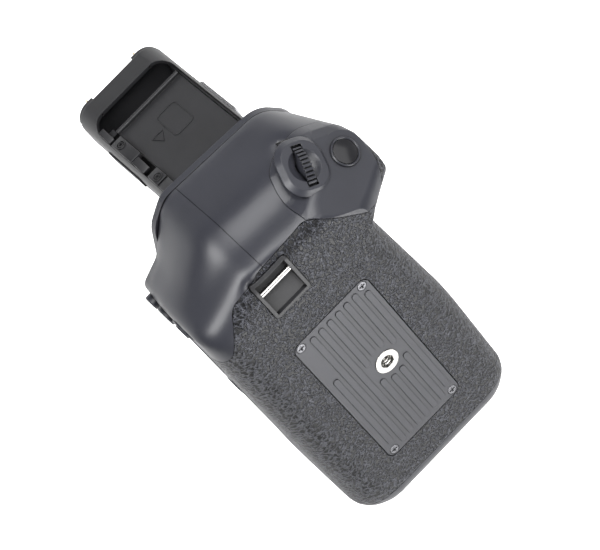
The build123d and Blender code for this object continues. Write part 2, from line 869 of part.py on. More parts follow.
# Top plate, closed over the shells, with the tower's opening
plate_corners = [
    (-body_left, -rim_rear, rear_left_radius),
    (rim_notch_x, -rim_rear, rim_notch_radius),
    (rim_bulge_x, -rim_bulge_y, rim_bulge_radius),
    (rim_dip_x, -rim_dip_y, rim_dip_radius),
    (rim_corner_x, -rim_corner_y, rim_corner_radius),
    (rim_end_corner_x, -rim_end_corner_y, rim_end_radius),
    (rim_end_x, rim_end_y, facet_end_radius),
    (rim_front_x, rim_front_y, facet_front_radius),
    (rim_shoulder_x, rim_shoulder_y, shoulder_radius),
    (neck_x, body_front - neck_depth, neck_radius),
    (-front_bow_x, body_front + front_bow, front_bow_radius),
    (-body_left, body_front, front_left_radius),
]
top_screws = (
    (top_screw_left_x, top_screw_left_rear_y),
    (top_screw_left_x, top_screw_left_front_y),
    (top_screw_rear_x, top_screw_rear_y),
    (top_screw_front_x, top_screw_front_y),
    (top_screw_end_x, top_screw_end_y),
    (top_screw_shoulder_x, top_screw_shoulder_y),
)
pad_low = (pad_x - pad_length / 2, pad_y - pad_width / 2)
pad_high = (pad_x + pad_length / 2, pad_y + pad_width / 2)
with BuildPart() as top_plate:
    with BuildSketch(Plane.XY.offset(plate_bottom)):
        with BuildLine():
            rounded_outline(plate_corners)
        make_face()
    extrude(amount=plate_thickness)
    chamfer(top_plate.edges().group_by(Axis.Z)[-1], rim_edge)
    rounded_prism(
        (tower_low_x - seam_gap, tower_low_y - seam_gap, 0),
        (tower_high_x + seam_gap, tower_high_y + seam_gap, body_height + overrun),
        tower_radius + seam_gap,
        mode=Mode.SUBTRACT,
    )
    rounded_prism(
        (pad_low[0] - fit_gap, pad_low[1] - fit_gap, body_height - pad_recess),
        (pad_high[0] + fit_gap, pad_high[1] + fit_gap, body_height + overrun),
        pad_radius,
        mode=Mode.SUBTRACT,
    )
    post(0, screw_y, 0, body_height + overrun, stud_radius + stud_clearance, mode=Mode.SUBTRACT)
    for side in (-1, 1):
        post(side * pin_x, screw_y, 0, body_height + overrun, pin_base_radius + running_gap, mode=Mode.SUBTRACT)
    for screw_x, screw_place_y in top_screws:
        post(screw_x, screw_place_y, 0, body_height, top_screw_radius + fit_gap, mode=Mode.SUBTRACT)
        with Locations((screw_x, screw_place_y, body_height - top_screw_head_depth / 2)):
            Cone(
                top_screw_radius + fit_gap,
                top_screw_head_radius + fit_gap,
                top_screw_head_depth,
                mode=Mode.SUBTRACT,
            )
top_plate.part.label = "top_plate"
export_step(top_plate.part, "parts/top_plate.step")

with BuildPart() as top_pad:
    rounded_prism(
        (pad_low[0], pad_low[1], body_height - pad_recess),
        (pad_high[0], pad_high[1], pad_top),
        pad_radius - fit_gap,
    )
    post(0, screw_y, 0, body_height + overrun, stud_radius + 2 * stud_clearance, mode=Mode.SUBTRACT)
    for side in (-1, 1):
        post(side * pin_x, screw_y, 0, body_height + overrun, pin_base_radius + 2 * stud_clearance, mode=Mode.SUBTRACT)
top_pad.part.label = "top_pad"
export_step(top_pad.part, "parts/top_pad.step")

with BuildPart() as top_plate_screws:
    for screw_x, screw_place_y in top_screws:
        countersunk_screw(
            Plane(origin=(screw_x, screw_place_y, body_height)),
            top_screw_head_radius,
            top_screw_head_depth,
            top_screw_radius,
            top_screw_length,
            1,
        )
top_plate_screws.part.label = "top_plate_screws"
export_step(top_plate_screws.part, "parts/top_plate_screws.step")

with BuildPart() as guide_pins:
    for side in (-1, 1):
        post(side * pin_x, screw_y, plate_bottom - pin_depth, body_height, pin_base_radius)
        post(side * pin_x, screw_y, body_height, pad_top + pin_reach, pin_radius)
    chamfer(guide_pins.edges().group_by(Axis.Z)[-1], pin_tip)
guide_pins.part.label = "guide_pins"
export_step(guide_pins.part, "parts/guide_pins.step")

# Mounting screw that stands out of the top, turned by a thumbwheel whose edge shows at the rear
with BuildPart() as mounting_screw:
    post(0, screw_y, wheel_low_z - pivot_length, wheel_low_z, pivot_radius)
    post(0, screw_y, wheel_low_z, wheel_high_z, wheel_hub_radius)
    post(0, screw_y, wheel_high_z, pad_top, stud_neck_radius)
    post(0, screw_y, pad_top, pad_top + stud_reach, stud_radius)
    chamfer(mounting_screw.edges().group_by(Axis.Z)[-1], stud_tip)
mounting_screw.part.label = "mounting_screw"
export_step(mounting_screw.part, "parts/mounting_screw.step")

with BuildPart() as mounting_wheel:
    with BuildSketch(Plane.XY.offset(wheel_low_z)):
        with Locations((0, screw_y)):
            Circle(wheel_radius)
            with PolarLocations(wheel_radius, wheel_grooves):
                Rectangle(2 * wheel_groove_depth, wheel_groove_width, mode=Mode.SUBTRACT)
            Circle(wheel_hub_radius, mode=Mode.SUBTRACT)
    extrude(amount=wheel_height)
    with BuildSketch(Plane.XY.offset(wheel_low_z + wheel_web)):
        with Locations((0, screw_y)):
            Circle(wheel_radius - wheel_rim)
            Circle(wheel_hub_radius + wheel_hub_wall, mode=Mode.SUBTRACT)
    extrude(amount=wheel_height, mode=Mode.SUBTRACT)
mounting_wheel.part.label = "mounting_wheel"
export_step(mounting_wheel.part, "parts/mounting_wheel.step")

# Tripod plate, its ribs, bush and screws
plate_screw_places = [
    (x, y)
    for x in (tripod_plate_low_x + plate_screw_inset, tripod_plate_high_x - plate_screw_inset)
    for y in (tripod_plate_low_y + plate_screw_inset_y, tripod_plate_high_y - plate_screw_inset_y)
]


def rib(start_x, end_x, y):
    # One pill-shaped rib on the tripod plate, between two ends
    with Locations(((start_x + end_x) / 2, y)):
        SlotOverall(end_x - start_x, rib_width)


with BuildPart() as tripod_plate:
    rounded_prism(
        (tripod_plate_low_x, tripod_plate_low_y, skin_recess),
        (tripod_plate_high_x, tripod_plate_high_y, skin_recess + wall),
        tripod_plate_radius,
    )
    with BuildSketch(Plane.XY):
        for rib_index in range(rib_count):
            rib_y = rib_first_y - rib_index * rib_pitch
            rib_end = rib_short_end_x if rib_index in (0, rib_count - 1) else rib_end_x
            rib_start = rib_last_start_x if rib_index == rib_count - 1 else rib_end
            if abs(rib_y) < rib_clear_radius:
                gap = math.sqrt(rib_clear_radius**2 - rib_y**2)
                rib(-rib_end, -gap, rib_y)
                rib(gap, rib_start, rib_y)
            else:
                rib(-rib_end, rib_start, rib_y)
    extrude(amount=skin_recess + wall / 2)
    post(0, 0, -overrun, bush_flange, bush_radius, mode=Mode.SUBTRACT)
    post(0, 0, -overrun, overrun, bush_barrel_radius, mode=Mode.SUBTRACT)
    for place_x, place_y in plate_screw_places:
        post(place_x, place_y, 0, overrun, plate_screw_radius + fit_gap, mode=Mode.SUBTRACT)
        with Locations((place_x, place_y, skin_recess + plate_screw_head_depth / 2)):
            Cone(
                plate_screw_head_radius + fit_gap,
                plate_screw_radius + fit_gap,
                plate_screw_head_depth,
                mode=Mode.SUBTRACT,
            )
tripod_plate.part.label = "tripod_plate"
export_step(tripod_plate.part, "parts/tripod_plate.step")

with BuildPart() as tripod_bush:
    post(0, 0, 0, bush_flange, bush_radius)
    post(0, 0, 0, bush_length, bush_barrel_radius)
    post(0, 0, 0, bush_bore_length, bush_bore_radius, mode=Mode.SUBTRACT)
tripod_bush.part.label = "tripod_bush"
export_step(tripod_bush.part, "parts/tripod_bush.step")

with BuildPart() as tripod_plate_screws:
    for place_x, place_y in plate_screw_places:
        countersunk_screw(
            Plane(origin=(place_x, place_y, skin_recess), x_dir=(1, 0, 0), z_dir=(0, 0, -1)),
            plate_screw_head_radius,
            plate_screw_head_depth,
            plate_screw_radius,
            plate_screw_length - skin_recess,
            1,
        )
tripod_plate_screws.part.label = "tripod_plate_screws"
export_step(tripod_plate_screws.part, "parts/tripod_plate_screws.step")

# Strap lug: a moulded cup with a sloping floor, and the bar across it
with BuildPart() as strap_lug_frame:
    rounded_prism((lug_low_x, lug_low_y, 0), (lug_high_x, lug_high_y, lug_height), lug_radius)
    with BuildSketch(Plane.XZ.offset(-lug_high_y + lug_wall)):
        with BuildLine():
            Polyline(
                (lug_low_x + lug_wall, -overrun),
                (lug_low_x + lug_wall, lug_floor_low),
                (lug_slope_x, lug_floor_high),
                (lug_high_x - lug_wall, lug_floor_high),
                (lug_high_x - lug_wall, -overrun),
                close=True,
            )
        make_face()
    extrude(amount=lug_high_y - lug_low_y - 2 * lug_wall, mode=Mode.SUBTRACT)
    with BuildSketch(Plane.XZ.offset(-lug_high_y + lug_wall - bar_seat)):
        with Locations((bar_x, bar_z)):
            Circle(bar_radius + running_gap)
    extrude(amount=lug_high_y - lug_low_y - 2 * (lug_wall - bar_seat), mode=Mode.SUBTRACT)
    add(body_volume(-skin_recess), mode=Mode.INTERSECT)
strap_lug_frame.part.label = "strap_lug_frame"
export_step(strap_lug_frame.part, "parts/strap_lug_frame.step")

bar_low_y = lug_low_y + lug_wall - bar_seat
bar_high_y = lug_high_y - lug_wall + bar_seat
with BuildPart() as strap_bar:
    with BuildSketch(Plane.XZ.offset(-bar_high_y)):
        with Locations((bar_x, bar_z)):
            Circle(bar_radius)
    extrude(amount=bar_high_y - bar_low_y)
strap_bar.part.label = "strap_bar"
export_step(strap_bar.part, "parts/strap_bar.step")

# Tower: a hollow block of the camera battery's shape, open on the +X side
column_high_y = tower_panel_low_y - seam_gap / 2
panel_back_x = tower_panel_x - tower_panel_thickness
inside_low = (tower_low_x + tower_wall, tower_low_y + tower_wall)
inside_high_x = tower_high_x - tower_wall
inside_high_y = tower_high_y - tower_wall
tower_seat_z = shell_top - tower_flange_height
contact_blades = [
    (x, y)
    for x, inset in ((contact_blade_near_x, contact_blade_near_inset), (contact_blade_far_x, contact_blade_far_inset))
    for y in (tower_low_y + inset, tower_high_y - inset)
]
bracket_screw_heights = (bracket_screw_low_z, bracket_screw_high_z)
bracket_screw_y = inside_low[1] + bracket_width / 2
bracket_face_x = tower_panel_x + bracket_thickness
column_top_z = hook_high_z + hook_height
contact_blade_room = contact_blade_size + 2 * running_gap
with BuildPart() as tower_shell:
    rounded_prism(
        (tower_low_x, tower_low_y, tower_seat_z),
        (tower_high_x, tower_high_y, tower_top_z),
        tower_radius,
    )
    fillet(tower_shell.edges().group_by(Axis.Z)[-1], tower_edge)
    rounded_prism(
        (tower_low_x - tower_flange, tower_low_y - tower_flange, tower_seat_z),
        (tower_high_x + tower_flange, tower_high_y + tower_flange, shell_top),
        tower_radius + tower_flange,
    )
    for low_z, high_z, column in (
        (0, column_top_z, Mode.SUBTRACT),
        (column_top_z, tower_top_z - tower_wall, Mode.PRIVATE),
    ):
        with BuildSketch(Plane.XY.offset(low_z), mode=Mode.PRIVATE) as inside:
            with Locations(((inside_low[0] + inside_high_x) / 2, (inside_low[1] + inside_high_y) / 2)):
                RectangleRounded(
                    inside_high_x - inside_low[0],
                    inside_high_y - inside_low[1],
                    tower_radius - tower_wall,
                )
            with Locations(((inside_low[0] + inside_high_x) / 2, (tower_low_y + column_high_y) / 2)):
                Rectangle(tower_high_x - tower_low_x, column_high_y - tower_low_y, mode=column)
        extrude(inside.sketch, amount=high_z - low_z, mode=Mode.SUBTRACT)
    with BuildSketch(Plane.YZ.offset(tower_panel_x)):
        with Locations(((inside_low[1] + inside_high_y) / 2, (window_low_z + window_high_z) / 2)):
            RectangleRounded(inside_high_y - inside_low[1], window_high_z - window_low_z, window_radius)
    extrude(amount=overrun, mode=Mode.SUBTRACT)
    block(
        (side_rib_low_x, tower_low_y - side_rib_proud, side_rib_low_z),
        (side_rib_high_x, tower_low_y + tower_wall / 2, side_rib_high_z),
    )
    block(
        (latch_low_x, inside_high_y - tower_wall, latch_low_z),
        (latch_high_x, tower_high_y + overrun, latch_high_z),
        mode=Mode.SUBTRACT,
    )
    for screw_z in bracket_screw_heights:
        hole_plane = Plane(origin=(tower_panel_x, bracket_screw_y, screw_z), x_dir=(0, 1, 0), z_dir=(1, 0, 0))
        cylinder_along(hole_plane, -bracket_screw_length, 0, bracket_screw_radius + running_gap, mode=Mode.SUBTRACT)
    for blade_place in contact_blades:
        with Locations((*blade_place, tower_top_z)):
            Box(contact_blade_room, contact_blade_room, 2 * tower_wall + overrun, mode=Mode.SUBTRACT)
tower_shell.part.label = "tower_shell"
export_step(tower_shell.part, "parts/tower_shell.step")

# Floor of the tower's recess, with a lip along its top edge
with BuildPart() as tower_panel:
    block(
        (panel_back_x, tower_panel_low_y, tower_seat_z),
        (tower_panel_x, tower_panel_high_y, tower_panel_top_z),
    )
    block(
        (panel_back_x, tower_panel_low_y, tower_panel_top_z - tower_panel_lip_height),
        (tower_panel_x + tower_panel_lip, tower_panel_high_y, tower_panel_top_z),
    )
    lip_edges = tower_panel.edges().filter_by(Axis.Y).group_by(Axis.X)[-1]
    fillet(lip_edges, tower_panel_lip_height / 3)
tower_panel.part.label = "tower_panel"
export_step(tower_panel.part, "parts/tower_panel.step")

# Bracket that holds the camera's battery door, with two claws
bracket_low_y = inside_low[1] + running_gap
bracket_high_y = bracket_low_y + bracket_width
with BuildPart() as tower_bracket:
    block(
        (tower_panel_x, bracket_low_y, bracket_low_z),
        (bracket_face_x, bracket_high_y, bracket_notch_low_z),
    )
    block(
        (tower_panel_x, bracket_low_y, bracket_notch_high_z),
        (bracket_face_x, bracket_high_y, bracket_high_z),
    )
    for hook_z in (hook_low_z, hook_high_z):
        with BuildSketch(Plane.XZ.offset(-bracket_high_y)):
            with BuildLine():
                Polyline(
                    (tower_panel_x, hook_z - hook_slope),
                    (tower_panel_x + hook_reach - hook_slope, hook_z),
                    (tower_panel_x + hook_reach, hook_z + hook_slope),
                    (tower_panel_x + hook_reach, hook_z + hook_height - hook_slope),
                    (tower_panel_x, hook_z + hook_height),
                    close=True,
                )
            make_face()
        extrude(amount=hook_width)
    block(
        (tower_panel_x, bracket_low_y, bracket_notch_low_z),
        (tower_panel_x + bracket_thickness / 3, bracket_low_y + bracket_width / 3, bracket_notch_high_z),
    )
    for screw_z in bracket_screw_heights:
        hole_plane = Plane(origin=(bracket_face_x, bracket_screw_y, screw_z), x_dir=(0, 1, 0), z_dir=(1, 0, 0))
        cylinder_along(
            hole_plane, -bracket_screw_head, overrun, bracket_screw_head_radius + running_gap, mode=Mode.SUBTRACT
        )
        cylinder_along(hole_plane, -overrun, 0, bracket_screw_radius + running_gap, mode=Mode.SUBTRACT)
tower_bracket.part.label = "tower_bracket"
export_step(tower_bracket.part, "parts/tower_bracket.step")

with BuildPart() as tower_bracket_screws:
    for screw_z in bracket_screw_heights:
        head_plane = Plane(origin=(bracket_face_x, bracket_screw_y, screw_z), x_dir=(0, 1, 0), z_dir=(1, 0, 0))
        cylinder_along(head_plane, -bracket_screw_head, 0, bracket_screw_head_radius)
        cylinder_along(head_plane, -bracket_screw_length, -bracket_screw_head, bracket_screw_radius)
        share = bracket_screw_cross_share
        cross_recess(head_plane, cross_length * share, cross_width * share, cross_depth * share)
tower_bracket_screws.part.label = "tower_bracket_screws"
export_step(tower_bracket_screws.part, "parts/tower_bracket_screws.step")

# Catch spring for the battery door, in a slot of the tower's +Y wall
with BuildPart() as tower_latch:
    block(
        (latch_low_x + fit_gap, inside_high_y - fit_gap, latch_low_z + fit_gap),
        (latch_high_x - fit_gap, tower_high_y + latch_proud, latch_high_z - fit_gap),
    )
    outer_corners = tower_latch.edges().filter_by(Axis.X).group_by(Axis.Y)[-1]
    chamfer(outer_corners, latch_proud)
    block(
        (latch_low_x + fit_gap, inside_high_y - tower_wall / 2, latch_low_z + fit_gap),
        (latch_high_x - fit_gap, inside_high_y, latch_low_z + latch_block),
    )
tower_latch.part.label = "tower_latch"
export_step(tower_latch.part, "parts/tower_latch.step")

# Contact blocks on the tower's top and the blades that stand in them
with BuildPart() as tower_contact_blocks:
    with BuildSketch(Plane.XY.offset(tower_top_z)):
        tower_middle = ((tower_low_x + tower_high_x) / 2, (tower_low_y + tower_high_y) / 2)
        for inset, mode in ((contact_block_inset, Mode.ADD), (contact_block_inset + contact_block_depth, Mode.SUBTRACT)):
            with Locations(tower_middle):
                RectangleRounded(
                    tower_high_x - tower_low_x - 2 * inset,
                    tower_high_y - tower_low_y - 2 * inset,
                    tower_radius - inset,
                    mode=mode,
                )
        with Locations((contact_block_low_x - overrun, tower_middle[1])):
            Rectangle(2 * overrun, 3 * overrun, mode=Mode.SUBTRACT)
        with Locations(tower_middle):
            Rectangle(2 * overrun, tower_high_y - tower_low_y - 2 * contact_block_length, mode=Mode.SUBTRACT)
    extrude(amount=contact_block_height)
    for blade_place in contact_blades:
        with Locations((*blade_place, tower_top_z)):
            Box(contact_blade_room, contact_blade_room, overrun, mode=Mode.SUBTRACT)
tower_contact_blocks.part.label = "tower_contact_blocks"
export_step(tower_contact_blocks.part, "parts/tower_contact_blocks.step")

blade_length = tower_wall + contact_block_height + contact_blade_height
with BuildPart() as tower_contact_blades:
    for blade_place in contact_blades:
        with Locations((*blade_place, tower_top_z - tower_wall + blade_length / 2)):
            Box(contact_blade_size, contact_blade_size, blade_length)
tower_contact_blades.part.label = "tower_contact_blades"
export_step(tower_contact_blades.part, "parts/tower_contact_blades.step")

# Main circuit board and the terminal block that meets the magazine
with BuildPart() as circuit_board:
    block((board_x, board_low_y, board_low_z), (board_x + board_thickness, board_high_y, board_high_z))
circuit_board.part.label = "circuit_board"
export_step(circuit_board.part, "parts/circuit_board.step")

terminal_pitch = (terminal_high_y - terminal_low_y) / terminal_pin_count
terminal_mid_z = (terminal_low_z + terminal_high_z) / 2
terminal_face_x = cavity_end_x + 3 * seam_gap
with BuildPart() as magazine_terminal:
    block(
        (terminal_face_x, terminal_low_y, terminal_low_z),
        (board_x - seam_gap, terminal_high_y, terminal_high_z),
    )
    for pin_index in range(terminal_pin_count):
        pin_y = terminal_low_y + (pin_index + 1 / 2) * terminal_pitch
        pin_plane = Plane(origin=(terminal_face_x, pin_y, terminal_mid_z), x_dir=(0, 1, 0), z_dir=(-1, 0, 0))
        cylinder_along(pin_plane, -terminal_pin_reach, terminal_pin_reach, terminal_pin_radius)
magazine_terminal.part.label = "magazine_terminal"
export_step(magazine_terminal.part, "parts/magazine_terminal.step")

# Magazine tray with two battery bays, open on top
tray_low = (door_seam_x - slide_gap - end_plate_thickness, cavity_low_y + slide_gap, cavity_low_z + slide_gap)
tray_high = (cavity_end_x - slide_gap, cavity_high_y - slide_gap, cavity_high_z - slide_gap)
tray_front_x = door_seam_x - slide_gap
bay_floor_z = tray_low[2] + tray_wall
bay_low_y = (tray_low[1] + tray_high[1] - battery_length) / 2
bay_starts = (bay_first_x, bay_first_x + battery_width + tray_wall)
lock_bay_high_x = bay_first_x - tray_wall
knob_shaft_bore = knob_shaft_radius + 2 * running_gap
lock_plane = Plane(origin=(0, lock_y, lock_z), x_dir=(0, 1, 0), z_dir=(1, 0, 0))
strip_x = tray_high[0] - strip_depth
tray_wall_inner_x = bay_starts[1] + battery_width


def contact_strip(pin_index, grow, mode):
    # One flat contact let into the tray's inner end
    pin_y = terminal_low_y + (pin_index + 1 / 2) * terminal_pitch
    half = terminal_pitch / 3 + grow
    block(
        (strip_x - grow, pin_y - half, bay_floor_z + tray_wall - grow),
        (tray_high[0] + strip_proud + grow, pin_y + half, terminal_high_z + grow),
        mode=mode,
    )


def bay_blade(bay_x, blade_index):
    # Plan and height corners of one battery contact blade
    middle_x = bay_x + battery_width / 2 + (blade_index - 1) * blade_spacing
    low = (middle_x - blade_width / 2, bay_low_y + battery_length - blade_reach, bay_floor_z)
    high = (middle_x + blade_width / 2, bay_low_y + battery_length, bay_floor_z + blade_height)
    return low, high


with BuildPart() as end_plate:
    add(chassis_volume)
    block((tray_low[0], -far_side, -overrun), (tray_front_x, far_side, shell_top), mode=Mode.INTERSECT)

with BuildPart() as magazine_tray:
    add(end_plate.part)
    block((tray_front_x - running_gap, tray_low[1], tray_low[2]), tray_high)
    block(
        (tray_front_x, bay_low_y, bay_floor_z),
        (lock_bay_high_x, bay_low_y + battery_length, cavity_high_z),
        mode=Mode.SUBTRACT,
    )
    for bay_x in bay_starts:
        block(
            (bay_x, bay_low_y, bay_floor_z),
            (bay_x + battery_width, bay_low_y + battery_length, cavity_high_z),
            mode=Mode.SUBTRACT,
        )
        for side_y in (bay_low_y, bay_low_y + battery_length):
            with Locations((bay_x + battery_width / 2, side_y, cavity_high_z)):
                Cylinder(finger_radius, 3 * tray_wall, rotation=(90, 0, 0), mode=Mode.SUBTRACT)
    for pin_index in range(terminal_pin_count):
        contact_strip(pin_index, 0, Mode.SUBTRACT)
    cylinder_along(lock_plane, tray_low[0] - overrun, tray_front_x + fit_gap, knob_shaft_bore, mode=Mode.SUBTRACT)
magazine_tray.part.label = "magazine_tray"
export_step(magazine_tray.part, "parts/magazine_tray.step")

with BuildPart() as magazine_strips:
    for pin_index in range(terminal_pin_count):
        contact_strip(pin_index, 0, Mode.ADD)
magazine_strips.part.label = "magazine_strips"
export_step(magazine_strips.part, "parts/magazine_strips.step")

with BuildPart() as battery_contacts:
    for bay_x in bay_starts:
        for blade_index in range(3):
            block(*bay_blade(bay_x, blade_index))
battery_contacts.part.label = "battery_contacts"
export_step(battery_contacts.part, "parts/battery_contacts.step")

# Magazine door, the body's whole left end, with the round seat of the lock knob
lock_seat_x = -body_left + lock_recess_depth
with BuildPart() as magazine_door:
    add(shell_wall.part)
    block((-far_side, -far_side, -overrun), (door_seam_x - seam_gap, far_side, shell_top), mode=Mode.INTERSECT)
    cylinder_along(lock_plane, -far_side, lock_seat_x, lock_recess_radius, mode=Mode.SUBTRACT)
    cylinder_along(lock_plane, -far_side, tray_low[0], knob_shaft_bore, mode=Mode.SUBTRACT)
magazine_door.part.label = "magazine_door"
export_step(magazine_door.part, "parts/magazine_door.step")

# Lock knob with its shaft, and the cam that turns up behind the chassis wall
cam_low_x = door_seam_x + cam_behind_wall
cam_high_x = cam_low_x + cam_thickness
knob_back_x = lock_seat_x - knob_gap
knob_face_x = knob_back_x - knob_height
with BuildPart() as magazine_lock_knob:
    cylinder_along(lock_plane, knob_face_x, knob_back_x, knob_radius)
    chamfer(magazine_lock_knob.edges().group_by(Axis.X)[0], knob_edge)
    with BuildSketch(lock_plane.offset(knob_face_x)):
        SlotOverall(2 * (knob_radius - knob_edge), knob_bar_width, rotation=90)
    extrude(amount=-knob_bar_height)
    cylinder_along(lock_plane, knob_back_x, cam_low_x, knob_shaft_radius)
    cylinder_along(lock_plane, cam_low_x, cam_high_x, cam_hub_bore)
magazine_lock_knob.part.label = "magazine_lock_knob"
export_step(magazine_lock_knob.part, "parts/magazine_lock_knob.step")

with BuildPart() as magazine_lock_cam:
    cylinder_along(lock_plane, cam_low_x, cam_high_x, cam_hub_radius)
    with BuildSketch(lock_plane.offset(cam_low_x)):
        with Locations(((cam_reach - cam_half_width) / 2, 0)):
            Rectangle(cam_reach - cam_half_width, 2 * cam_half_width)
        with Locations((cam_reach - cam_half_width, 0)):
            Circle(cam_half_width)
    extrude(amount=cam_thickness)
    cylinder_along(lock_plane, cam_low_x, cam_high_x, cam_hub_bore, mode=Mode.SUBTRACT)
magazine_lock_cam.part.label = "magazine_lock_cam"
export_step(magazine_lock_cam.part, "parts/magazine_lock_cam.step")

# Chassis inside the shells, with the cavities that everything else sits in
button_pocket_radius = button_radius + button_flange + slide_gap
switch_pocket_radius = switch_size / math.sqrt(2) + slide_gap
rear_pocket_depth = rear_board_y + rear_board_thickness + fit_gap
notch_low_x = door_seam_x + cam_lock_wall
notch_high_x = cam_high_x + slide_gap
with BuildPart() as chassis:
    add(chassis_volume)
    add(body_side, mode=Mode.INTERSECT)
    block(
        (-far_side, cavity_low_y, cavity_low_z),
        (cavity_end_x, cavity_high_y, cavity_high_z),
        mode=Mode.SUBTRACT,
    )
    with BuildSketch(lock_plane.offset(notch_low_x), mode=Mode.PRIVATE) as notch:
        Circle(cam_reach + slide_gap)
        with Locations((0, cavity_low_z - lock_z)):
            Rectangle(2 * far_side, 2 * (cavity_high_z - cavity_low_z) - tray_wall, mode=Mode.SUBTRACT)
    extrude(notch.sketch, amount=notch_high_x - notch_low_x, mode=Mode.SUBTRACT)
    wheel_space()
    post(0, screw_y, wheel_low_z - pivot_length - slide_gap, body_height, pivot_radius + running_gap, Mode.SUBTRACT)
    post(0, 0, -overrun, bush_length + fit_gap, bush_barrel_radius + running_gap, Mode.SUBTRACT)
    for place_x, place_y in plate_screw_places:
        post(place_x, place_y, -overrun, plate_screw_length + fit_gap, plate_screw_radius + running_gap, Mode.SUBTRACT)
    for screw_x, screw_place_y in top_screws:
        post(
            screw_x,
            screw_place_y,
            body_height - top_screw_length - fit_gap,
            body_height,
            top_screw_radius + running_gap,
            Mode.SUBTRACT,
        )
    for side in (-1, 1):
        post(side * pin_x, screw_y, plate_bottom - pin_depth, body_height, pin_base_radius + running_gap, Mode.SUBTRACT)
    block(
        (board_x - seam_gap, board_low_y - fit_gap, board_low_z - slide_gap),
        (board_x + board_thickness + board_parts_depth, board_high_y + fit_gap, body_height),
        mode=Mode.SUBTRACT,
    )
    block(
        (cavity_end_x - overrun, terminal_low_y - fit_gap, terminal_low_z - fit_gap),
        (board_x, terminal_high_y + fit_gap, terminal_high_z + fit_gap),
        mode=Mode.SUBTRACT,
    )
    block((board_x, duct_low_y, duct_low_z), (duct_high_x, duct_high_y, body_height), mode=Mode.SUBTRACT)
    lug_space()
    rounded_prism(
        (tower_low_x - tower_flange - fit_gap, tower_low_y - tower_flange - fit_gap, tower_seat_z),
        (tower_high_x + tower_flange + fit_gap, tower_high_y + tower_flange + fit_gap, body_height),
        tower_radius + tower_flange,
        mode=Mode.SUBTRACT,
    )
    dial_space()
    cylinder_along(dial_hub_plane, -axle_half - fit_gap, axle_half + fit_gap, dial_axle_bore, mode=Mode.SUBTRACT)
    cylinder_along(button_plane, flange_bottom - button_travel - fit_gap, overrun, button_pocket_radius, Mode.SUBTRACT)
    cylinder_along(button_plane, switch_base, overrun, switch_pocket_radius, Mode.SUBTRACT)
    block(
        (rear_button_x - rear_board_half - fit_gap, -far_side, rear_board_low_z - fit_gap),
        (rear_button_x + rear_board_half + fit_gap, rear_pocket_depth, rear_board_high_z + fit_gap),
        mode=Mode.SUBTRACT,
    )
    for rear_z, rear_radius in zip(rear_button_z, rear_button_radii):
        rear_flange_space(rear_z, rear_radius, body_rear + rear_board_y)
chassis.part.label = "chassis"
export_step(chassis.part, "parts/chassis.step")
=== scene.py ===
import json
import math

import bpy
from mathutils import Matrix, Vector

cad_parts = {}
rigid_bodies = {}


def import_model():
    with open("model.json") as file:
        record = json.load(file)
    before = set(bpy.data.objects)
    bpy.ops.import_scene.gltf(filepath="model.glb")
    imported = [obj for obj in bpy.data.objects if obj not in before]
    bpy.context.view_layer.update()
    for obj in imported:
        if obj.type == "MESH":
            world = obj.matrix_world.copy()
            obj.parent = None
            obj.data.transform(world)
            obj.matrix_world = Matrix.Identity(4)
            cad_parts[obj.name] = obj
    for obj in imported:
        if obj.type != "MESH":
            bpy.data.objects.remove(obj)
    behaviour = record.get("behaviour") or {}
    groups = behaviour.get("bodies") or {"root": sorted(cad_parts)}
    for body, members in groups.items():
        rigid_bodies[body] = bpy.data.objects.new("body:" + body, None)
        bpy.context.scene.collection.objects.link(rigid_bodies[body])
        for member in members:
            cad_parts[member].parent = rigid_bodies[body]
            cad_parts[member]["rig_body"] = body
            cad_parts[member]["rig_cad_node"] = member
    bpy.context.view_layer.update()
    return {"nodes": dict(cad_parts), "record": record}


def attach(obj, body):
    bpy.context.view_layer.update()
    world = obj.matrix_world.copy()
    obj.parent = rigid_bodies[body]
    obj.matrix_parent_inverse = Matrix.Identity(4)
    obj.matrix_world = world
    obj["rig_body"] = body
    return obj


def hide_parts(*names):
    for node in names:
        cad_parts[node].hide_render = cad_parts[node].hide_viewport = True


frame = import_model()
nodes = frame["nodes"]
bodyOf = {}
for bodyName, members in frame["record"]["behaviour"]["bodies"].items():
    for member in members:
        bodyOf[member] = bodyName
slotOf = {row["node"]: row["material_slot"] for row in frame["record"]["subparts"]}
print("stage: frame loaded,", len(nodes), "nodes")

# The camera looks up at the underside, as the photograph does
cameraView = {
    "place": (0.739018, -0.066389, -0.671683),
    "right": (-0.470375, 0.696006, -0.542516),
    "down": (-0.524183, -0.714929, -0.462719),
    "forward": (-0.709915, 0.066726, 0.701119),
    "lens": 178.032,
    "sensor": 36.0,
    "nearest": 0.01,
    "farthest": 20,
}


def placeCamera(view):
    bpy.ops.object.camera_add()
    camera = bpy.context.object
    camera.name = "gripCamera"
    right, down, forward = Vector(view["right"]), Vector(view["down"]), Vector(view["forward"])
    turn = Matrix((right, -down, -forward)).transposed().to_4x4()
    camera.matrix_world = Matrix.Translation(view["place"]) @ turn
    camera.data.lens = view["lens"]
    camera.data.sensor_width = view["sensor"]
    camera.data.clip_start = view["nearest"]
    camera.data.clip_end = view["farthest"]
    bpy.context.scene.camera = camera


placeCamera(cameraView)
print("stage: camera placed")


# Every finish starts from the same shader with object coordinates
def startMaterial(name, look):
    material = bpy.data.materials.new(name)
    material.use_nodes = True
    shader = material.node_tree.nodes["Principled BSDF"]
    shader.inputs["Roughness"].default_value = look["roughness"]
    shader.inputs["Metallic"].default_value = look.get("metallic", 0.0)
    shader.inputs["Specular IOR Level"].default_value = look.get("specular", 0.5)
    shader.inputs["Base Color"].default_value = (*look["colour"], 1)
    coords = material.node_tree.nodes.new("ShaderNodeTexCoord")
    return material, shader, coords


noiseDetail = {"tone": 3.0, "fine": 2.0, "wrinkle": 2.0, "mark": 4.0}


